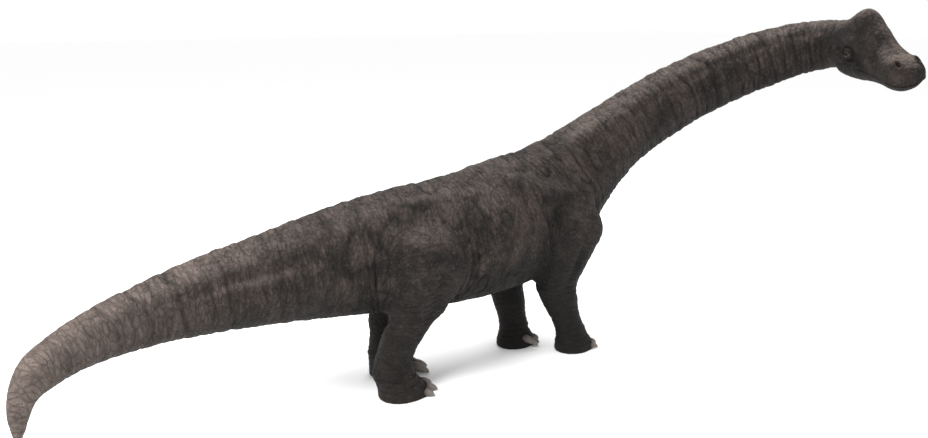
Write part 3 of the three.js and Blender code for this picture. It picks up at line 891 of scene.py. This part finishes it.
def makeLids(side, name):
    u = np.arange(lidSettings["around"]) / lidSettings["around"] * 2 * np.pi
    tall = np.where(np.sin(u) > 0, lids["upper"], lids["lower"])
    dx = lids["long"] * np.cos(u)
    dz = tall * np.sign(np.sin(u)) * np.abs(np.sin(u)) ** 1.25
    radius = headShape["eyeRadius"] + lidSettings["gap"]
    outward = np.stack([dx, side * np.sqrt(radius ** 2 - dx ** 2 - dz ** 2), dz], -1) / radius
    along = np.roll(outward, -1, 0) - np.roll(outward, 1, 0)
    along /= np.linalg.norm(along, axis=1)[:, None]
    away = np.cross(along, outward) * side
    away *= np.sign((away * np.stack([dx, 0 * dx, dz], -1)).sum(1))[:, None]
    most = np.where(np.sin(u) > 0, lidSettings["upper"], lidSettings["lower"])
    thick = lidSettings["corner"] + most * np.abs(np.sin(u)) ** 0.7
    c, n = aroundRing(lidSettings["tube"])
    width = lidSettings["width"] * (0.7 + 0.3 * np.abs(np.sin(u)))
    wrinkle = 1 + 0.12 * np.sin(n * 7)[None] * np.abs(np.sin(u))[:, None]
    middle = np.array(headShape["eye"]) * [1, side, 1] + outward * radius + away * (width * 0.85)[:, None]
    rings = (middle[:, None] + away[:, None] * (width[:, None] * c)[..., None]
             + outward[:, None] * (thick[:, None] * n * wrinkle)[..., None])
    rings = rings - outward[:, None] * (0.35 * (c > 0) * c ** 2 * width[:, None])[..., None]
    points = fromHead(rings.reshape(-1, 3)) + offset
    count, tube = rings.shape[:2]
    i, j = np.meshgrid(np.arange(count), np.arange(tube), indexing="ij")
    k, m = (i + 1) % count, (j + 1) % tube
    quads = np.stack([i * tube + j, k * tube + j, k * tube + m, i * tube + m], -1).reshape(-1, 4)
    mesh = outwardMesh(points, quads.tolist(), name)
    addAttribute(mesh, "face", np.ones(len(points)))
    addAttribute(mesh, "darkening", np.full(len(points), paintedShadeAndDark["eye"]))
    mesh.shade_smooth()
    return addObject(mesh, name)


# Claws: rings round an axis that drops towards a blunt tip, with growth rings and fine ribs.
clawSettings = {
    "rings": 48,
    "around": 40,
    "growth": 0.012,  # share of the radius
    "ribs": 0.008,
    "flatBelow": 0.3,
    "lift": 0.02,  # of the root above the floor
    "claw": {  # from the inner toe outwards
        "lengths": [0.3, 0.258, 0.216, 0.165],
        "talls": [0.125, 0.112, 0.098, 0.088],
        "drops": [0.105, 0.092, 0.078, 0.058],
    },
    "nail": {
        "lengths": [0.13, 0.13, 0.13, 0.13],
        "talls": [0.092, 0.09, 0.086, 0.082],
        "drops": [0.04, 0.038, 0.036, 0.034],
    },
    "thumb": {"length": 0.28, "tall": 0.105, "drop": 0.12, "height": 0.215, "heading": 80},
}


def makeClaw(name, x, y, height, heading, length, tall, drop, seed):
    c, n = math.cos(heading), math.sin(heading)
    t = (np.linspace(0, 1, clawSettings["rings"]) ** 0.8)[:, None]
    a, b = aroundRing(clawSettings["around"])
    angle = np.arctan2(b, a)
    radius = tall * np.sqrt(1 - 0.97 * t ** 2) * (1 - 0.03 * t)
    growth = np.sin(t * 34 + seed) * 0.6 + np.sin(t * 57 + 2 * seed + 0.5 * b) * 0.4
    ribs = np.sin(angle * 11 + seed) * (b > -0.2)
    rough = clawSettings["growth"] * growth * softStep(0.2, 0.4, t)
    radius = radius * (1 + rough + clawSettings["ribs"] * ribs)
    below = np.where(b < 0, 1 - clawSettings["flatBelow"] * (1 - np.abs(a)), 1)
    along = length * (1.35 * t - 0.35)
    across = a * radius * 0.82
    up = height - drop * t ** 2 + b * below * radius
    rings = np.stack([x + c * along - n * across, y + n * along + c * across, np.maximum(up, 0.001)], -1)
    mesh = closedShape(rings + offset, name)
    grown = np.broadcast_to(t, rings.shape[:2]).ravel()
    turned = np.broadcast_to(angle, rings.shape[:2]).ravel()
    addAttribute(mesh, "grown", np.concatenate([grown, [0, 1]]))
    ribs = np.stack([np.cos(turned), np.sin(turned), grown * 0.35], -1)
    addAttribute(mesh, "ribs", np.concatenate([ribs, [[0, 0, 0], [0, 0, 0.35]]]))
    mesh.shade_smooth()
    return addObject(mesh, name)


def makeClaws():
    made = []
    for name, place in limbPlaces.items():
        kind = "claw" if name.startswith("hind") else "nail"
        sizes = clawSettings[kind]
        for i, toe in enumerate(limbToes(name)):
            heading = math.radians(toe)
            rim = limbSurface(name, 0.11, math.cos(heading) * 0.95, math.sin(heading) * 0.95)
            tall = sizes["talls"][i]
            node = f"{kind}_{name}_{i + 1}"
            piece = makeClaw(node + "_horn", rim[0], rim[1], tall + clawSettings["lift"], heading * 0.75,
                             sizes["lengths"][i], tall, sizes["drops"][i], i + 2.3)
            made.append((piece, node))
        if kind == "nail":
            thumb = clawSettings["thumb"]
            heading = math.radians(-place["side"] * thumb["heading"])
            rim = limbSurface(name, 0.21, math.cos(heading) * 0.93, math.sin(heading) * 0.93)
            node = "claw_thumb_" + name.split("_")[1]
            piece = makeClaw(node + "_horn", rim[0], rim[1], thumb["height"], heading * 0.6,
                             thumb["length"], thumb["tall"], thumb["drop"], 7.1)
            made.append((piece, node))
    return made


sides = {"right": -1, "left": 1}
eyes = {side: makeEye(sign, "eyeball_" + side) for side, sign in sides.items()}
lidPieces = [makeLids(sign, "eyelids_" + side) for side, sign in sides.items()]
claws = makeClaws()
print("eyes, lids and", len(claws), "claws")


# Materials. A Wire is one socket of a node tree; operators on it add Math nodes.
class Wire:
    def __init__(self, tree, socket):
        self.tree = tree
        self.socket = socket

    def add(self, kind, settings=None, values=None, output=0):  # any node: type, settings, socket values
        return addNode(self.tree, kind, settings, values, output)

    def math(self, operation, first, second=0.0, clamp=False):
        settings = {"operation": operation, "use_clamp": clamp}
        return self.add("ShaderNodeMath", settings, {0: first, 1: second})

    def __add__(self, other):
        return self.math("ADD", self, other)

    __radd__ = __add__

    def __sub__(self, other):
        return self.math("SUBTRACT", self, other)

    def __rsub__(self, other):
        return self.math("SUBTRACT", other, self)

    def __mul__(self, other):
        return self.math("MULTIPLY", self, other)

    __rmul__ = __mul__

    def clip(self):
        return self.math("ADD", self, 0.0, True)

    def step(self, low, high, toLow=0.0, toHigh=1.0):  # eases from toLow to toHigh between low and high
        values = {"Value": self, "From Min": low, "From Max": high, "To Min": toLow, "To Max": toHigh}
        return self.add("ShaderNodeMapRange", {"interpolation_type": "SMOOTHSTEP"}, values)

    def mixed(self, first, second):  # colours, by this wire as the factor
        return self.add("ShaderNodeMix", {"data_type": "RGBA"}, {0: self, 6: first, 7: second}, 2)

    def chosen(self, first, second):  # vectors, by this wire as the factor
        return self.add("ShaderNodeMix", {"data_type": "VECTOR"}, {0: self, 4: first, 5: second}, 1)

    def scaled(self, x, y, z):  # a vector, stretched along its axes
        return self.add("ShaderNodeVectorMath", {"operation": "MULTIPLY"}, {0: self, 1: (x, y, z)})

    def moved(self, other):  # a vector plus another
        return self.add("ShaderNodeVectorMath", {"operation": "ADD"}, {0: self, 1: other})


def addNode(tree, kind, settings=None, values=None, output=0):
    node = tree.nodes.new(kind)
    for key, value in (settings or {}).items():
        setattr(node, key, value)
    for key, value in (values or {}).items():
        if isinstance(value, Wire):
            tree.links.new(value.socket, node.inputs[key])
        else:
            node.inputs[key].default_value = value
    return Wire(tree, node.outputs[output])


def coordinate(vector, index):  # x, y or z of a vector
    return vector.add("ShaderNodeSeparateXYZ", None, {0: vector}, index)


def newMaterial(name):
    material = bpy.data.materials.new(name)
    material.use_nodes = True
    material.node_tree.nodes.clear()
    return material, material.node_tree


def place(tree):  # Object coordinates
    return addNode(tree, "ShaderNodeTexCoord", output="Object")


def named(tree, name, output="Fac"):
    return addNode(tree, "ShaderNodeAttribute", {"attribute_name": name}, None, output)


def noise(tree, vector, scale, detail=4.0, rough=0.6, output="Fac"):
    values = {"Vector": vector, "Scale": scale, "Detail": detail, "Roughness": rough}
    return addNode(tree, "ShaderNodeTexNoise", None, values, output)


def cellEdges(tree, vector, scale, random=1.0):  # distance to the edges of cells
    values = {"Vector": vector, "Scale": scale, "Randomness": random}
    return addNode(tree, "ShaderNodeTexVoronoi", {"feature": "DISTANCE_TO_EDGE"}, values, "Distance")


def layered(base, look, layers):  # colours laid one over the other, each by its own mask
    for mask, name in layers:
        base = mask.mixed(base, look[name])
    return base


def finishMaterial(tree, constants, inputs):
    shader = tree.nodes.new("ShaderNodeBsdfPrincipled")
    for key, value in constants.items():
        shader.inputs[key].default_value = value
    for key, wire in inputs.items():
        tree.links.new(wire.socket, shader.inputs[key])
    output = tree.nodes.new("ShaderNodeOutputMaterial")
    tree.links.new(shader.outputs[0], output.inputs[0])


def bump(tree, height, distance, strength=1.0):
    values = {"Height": height, "Distance": distance, "Strength": strength}
    return addNode(tree, "ShaderNodeBump", None, values)


def colour(red, green, blue):  # from screen values 0..255 to linear light
    return tuple(((v / 255 + 0.055) / 1.055) ** 2.4 for v in (red, green, blue)) + (1.0,)


hideLook = {
    "dark": colour(26, 23, 21),
    "mid": colour(51, 44, 41),
    "light": colour(80, 69, 65),
    # pale dust, also used as painted light on upward-facing skin
    "dustAndTopLight": colour(124, 111, 104),
    # crease: the darkest colour, for painted shade in the creases and the grooves between plates, and for
    # the darkening
    "crease": colour(17, 15, 14),
    "bump": 0.03,
    "tailPale": [-7.6, -2.6],  # s where the tail is palest, and where that has faded
    # how dark the painted shade in the grooves between plates is
    "plates": 0.3,
}


def hideMaterial():
    look = hideLook
    material, tree = newMaterial("hide")
    at = place(tree)
    lie = named(tree, "lie", "Vector")
    crease, limb, face, under, darkening = [
        named(tree, name) for name in ("crease", "limb", "face", "under", "darkening")
    ]
    warp = noise(tree, at, 1.7, 2.0, 0.5, "Color")
    wavy = at.moved(warp.scaled(0.5, 0.5, 0.5))
    large = noise(tree, wavy, 0.8, 4.0, 0.6)
    medium = noise(tree, wavy, 3.3, 4.0, 0.66)
    small = noise(tree, at, 17.0, 3.0, 0.65)
    streaks = noise(tree, lie.scaled(6.5, 0.8, 0.8), 1.0, 4.0, 0.66)
    along = coordinate(lie, 0)
    tail = along.step(look["tailPale"][0], look["tailPale"][1], 1.0, 0.0) * (1 - face)
    trunk = along.step(-4.0, -1.0) * along.step(4.4, 6.4, 1.0, 0.0)
    # lighter on upward-facing skin in patches: partly painted light from above, partly dust
    up = coordinate(addNode(tree, "ShaderNodeNewGeometry", output="Normal"), 2)
    dustyAndLitTop = up.step(0.3, 0.95) * (medium + small).step(0.62, 1.15)
    # painted shade underneath and on the limbs
    shade = (under.step(0.1, 0.9) * 0.7 + limb * 0.2).clip()

    onBody = lie.scaled(11.0, 5.0, 5.0)
    onLimb = at.scaled(7.0, 7.0, 13.0)
    onFace = at.scaled(26.0, 26.0, 26.0)
    cells = limb.step(0.45, 0.5).chosen(onBody, onLimb)
    cells = face.step(0.5, 0.52).chosen(cells, onFace).moved(warp.scaled(1.5, 1.5, 1.5))
    plates = cellEdges(tree, cells, 1.0).step(0.0, 0.17)
    grains = cellEdges(tree, wavy, 34.0).step(0.0, 0.22)
    base = layered((large + tail * 0.12).step(0.38, 0.64).mixed(look["dark"], look["mid"]), look, [
        (medium.step(0.44, 0.7) * 0.45, "light"),
        (tail * (0.3 + 0.5 * medium), "dustAndTopLight"),
        (streaks.step(0.5, 0.72) * (0.1 + 0.26 * tail) * (1 - face) * (1 - limb), "dustAndTopLight"),
        (streaks.step(0.5, 0.3) * 0.4 * (1 - face), "dark"),
        (small.step(0.52, 0.72) * 0.16, "dustAndTopLight"),
        (small.step(0.46, 0.3) * 0.4, "dark"),
        ((dustyAndLitTop * (0.55 + 0.4 * face - 0.4 * trunk)).clip(), "dustAndTopLight"),
        ((shade * (0.5 + 0.5 * large)).clip(), "dark"),
        # painted shade in the creases
        ((crease * 0.7).clip(), "crease"),
        # darkening: painted shadow on ribs and behind elbows, painted shade in nostrils, darker skin
        # elsewhere
        ((darkening * (0.45 + 0.8 * medium)).clip(), "crease"),
        # painted shade in the grooves between the plates
        ((1 - plates) * look["plates"], "crease"),
    ])
    wrinkles = noise(tree, lie.scaled(15.0, 3.0, 3.0), 1.0, 3.0, 0.6) * (1 - limb * 0.8)
    height = plates * 0.45 + grains * 0.2 + small * 0.35 + wrinkles * 0.5 + medium * 0.5
    rough = (0.78 - small * 0.14 + crease * 0.06 - plates * 0.05).clip()
    constants = {"IOR": 1.42, "Specular IOR Level": 0.22}
    inputs = {"Base Color": base, "Roughness": rough, "Normal": bump(tree, height, look["bump"])}
    finishMaterial(tree, constants, inputs)
    return material


hornLook = {
    "root": colour(58, 50, 46),
    "body": colour(98, 90, 84),
    "tip": colour(128, 119, 110),
    "darkening": colour(44, 38, 34),
}


def hornMaterial():
    look = hornLook
    material, tree = newMaterial("horn")
    at = place(tree)
    grown = named(tree, "grown")
    ribs = named(tree, "ribs", "Vector")
    lines = noise(tree, ribs.scaled(7.0, 7.0, 1.0), 1.6, 5.0, 0.7)
    bands = noise(tree, ribs.scaled(0.6, 0.6, 60.0), 1.0, 3.0, 0.6)
    dirt = noise(tree, at, 26.0, 5.0, 0.7)
    base = layered(grown.step(0.15, 0.55).mixed(look["root"], look["body"]), look, [
        (grown.step(0.6, 1.0) * 0.7, "tip"),
        (lines.step(0.5, 0.36) * 0.6, "root"),
        (bands.step(0.56, 0.7) * 0.4, "darkening"),
        (dirt.step(0.5, 0.72) * 0.55, "darkening"),
    ])
    height = lines * 0.6 + bands * 0.5 + dirt * 0.2
    rough = (0.42 + dirt * 0.3).clip()
    inputs = {"Base Color": base, "Roughness": rough, "Normal": bump(tree, height, 0.006)}
    finishMaterial(tree, {"IOR": 1.5}, inputs)
    return material


eyeLook = {
    "pupil": colour(5, 4, 4),
    "iris": colour(44, 27, 15),
    "rim": colour(12, 9, 8),
    "white": colour(40, 31, 26),
}


def eyeMaterial():
    look = eyeLook
    material, tree = newMaterial("eyeball")
    gaze = named(tree, "gaze")
    at = place(tree)
    fibres = noise(tree, at, 60.0, 3.0, 0.6)
    base = layered(gaze.step(0.2, 0.26).mixed(look["pupil"], look["iris"]), look, [
        (fibres.step(0.4, 0.65) * 0.5, "rim"),
        (gaze.step(0.42, 0.5), "rim"),
        (gaze.step(0.52, 0.7), "white"),
    ])
    rough = 0.08 + gaze.step(0.5, 0.9) * 0.12
    constants = {"IOR": 1.3, "Specular IOR Level": 0.3, "Coat Weight": 0.25, "Coat Roughness": 0.04}
    finishMaterial(tree, constants, {"Base Color": base, "Roughness": rough})
    return material


hide = hideMaterial()
horn = hornMaterial()
wetEye = eyeMaterial()
flesh = [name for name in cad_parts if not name.startswith(("claw", "nail", "eye"))]
skin.data.materials.append(hide)
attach(skin, "root")
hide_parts(*flesh)
for side, piece in eyes.items():
    piece.data.materials.append(wetEye)
    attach(piece, "root")
    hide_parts(f"eye_{side}")
for piece in lidPieces:
    piece.data.materials.append(hide)
    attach(piece, "root")
for piece, node in claws:
    piece.data.materials.append(horn)
    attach(piece, "root")
    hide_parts(node)
print("materials on", 1 + len(eyes) + len(lidPieces) + len(claws), "pieces")

# The floor, soft studio light and the camera at the photograph's angle.
stageSettings = {
    "floorSize": 400,
    "floor": colour(253, 253, 253),
    "floorGrain": colour(242, 242, 242),
    "world": (1.0, 1.0, 1.0, 1.0),
    "worldStrength": 1.0,
    "lights": [  # place, size, watts
        [(-18, -8, 22), 9, 8500],
        [(6, 10, 26), 12, 4000],
    ],
    "camera": (-10.2126, -15.3873, 7.6),  # in the body's own frame
    "yaw": 33.15,
    "pitch": -13.25,
    "lens": 35,
    "sensor": 36,
    "farthest": 900,
    "lookAt": (0, 0, 3),  # of the lights
}


def makeStage():
    half = stageSettings["floorSize"] / 2
    corners = [(-half, -half, 0), (half, -half, 0), (half, half, 0), (-half, half, 0)]
    mesh = bpy.data.meshes.new("floor")
    mesh.from_pydata(corners, [], [(0, 1, 2, 3)])
    floor = addObject(mesh, "floor")
    material, tree = newMaterial("paleFloor")
    grain = noise(tree, place(tree), 0.6, 3.0, 0.5)
    base = (grain * 0.05).mixed(stageSettings["floor"], stageSettings["floorGrain"])
    finishMaterial(tree, {"Roughness": 0.9}, {"Base Color": base})
    mesh.materials.append(material)
    world = bpy.data.worlds.new("studio")
    bpy.context.scene.world = world
    world.use_nodes = True
    background = world.node_tree.nodes["Background"]
    background.inputs[0].default_value = stageSettings["world"]
    background.inputs[1].default_value = stageSettings["worldStrength"]
    middle = Vector(stageSettings["lookAt"])
    for i, (at, size, watts) in enumerate(stageSettings["lights"]):
        light = bpy.data.lights.new(f"softBox{i}", "AREA")
        light.shape = "DISK"
        light.size = size
        light.energy = watts
        lamp = addObject(light, light.name)
        lamp.location = at
        lamp.rotation_euler = (middle - Vector(at)).to_track_quat("-Z", "Y").to_euler()


def makeCamera():
    camera = bpy.data.cameras.new("camera")
    camera.lens = stageSettings["lens"]
    camera.sensor_width = stageSettings["sensor"]
    camera.clip_end = stageSettings["farthest"]
    viewer = addObject(camera, "camera")
    viewer.location = np.array(stageSettings["camera"]) + offset
    tilt = math.radians(90 + stageSettings["pitch"])
    viewer.rotation_euler = (tilt, 0, -math.radians(stageSettings["yaw"]))
    bpy.context.scene.camera = viewer


makeStage()
makeCamera()
bpy.context.scene.view_settings.view_transform = "Standard"
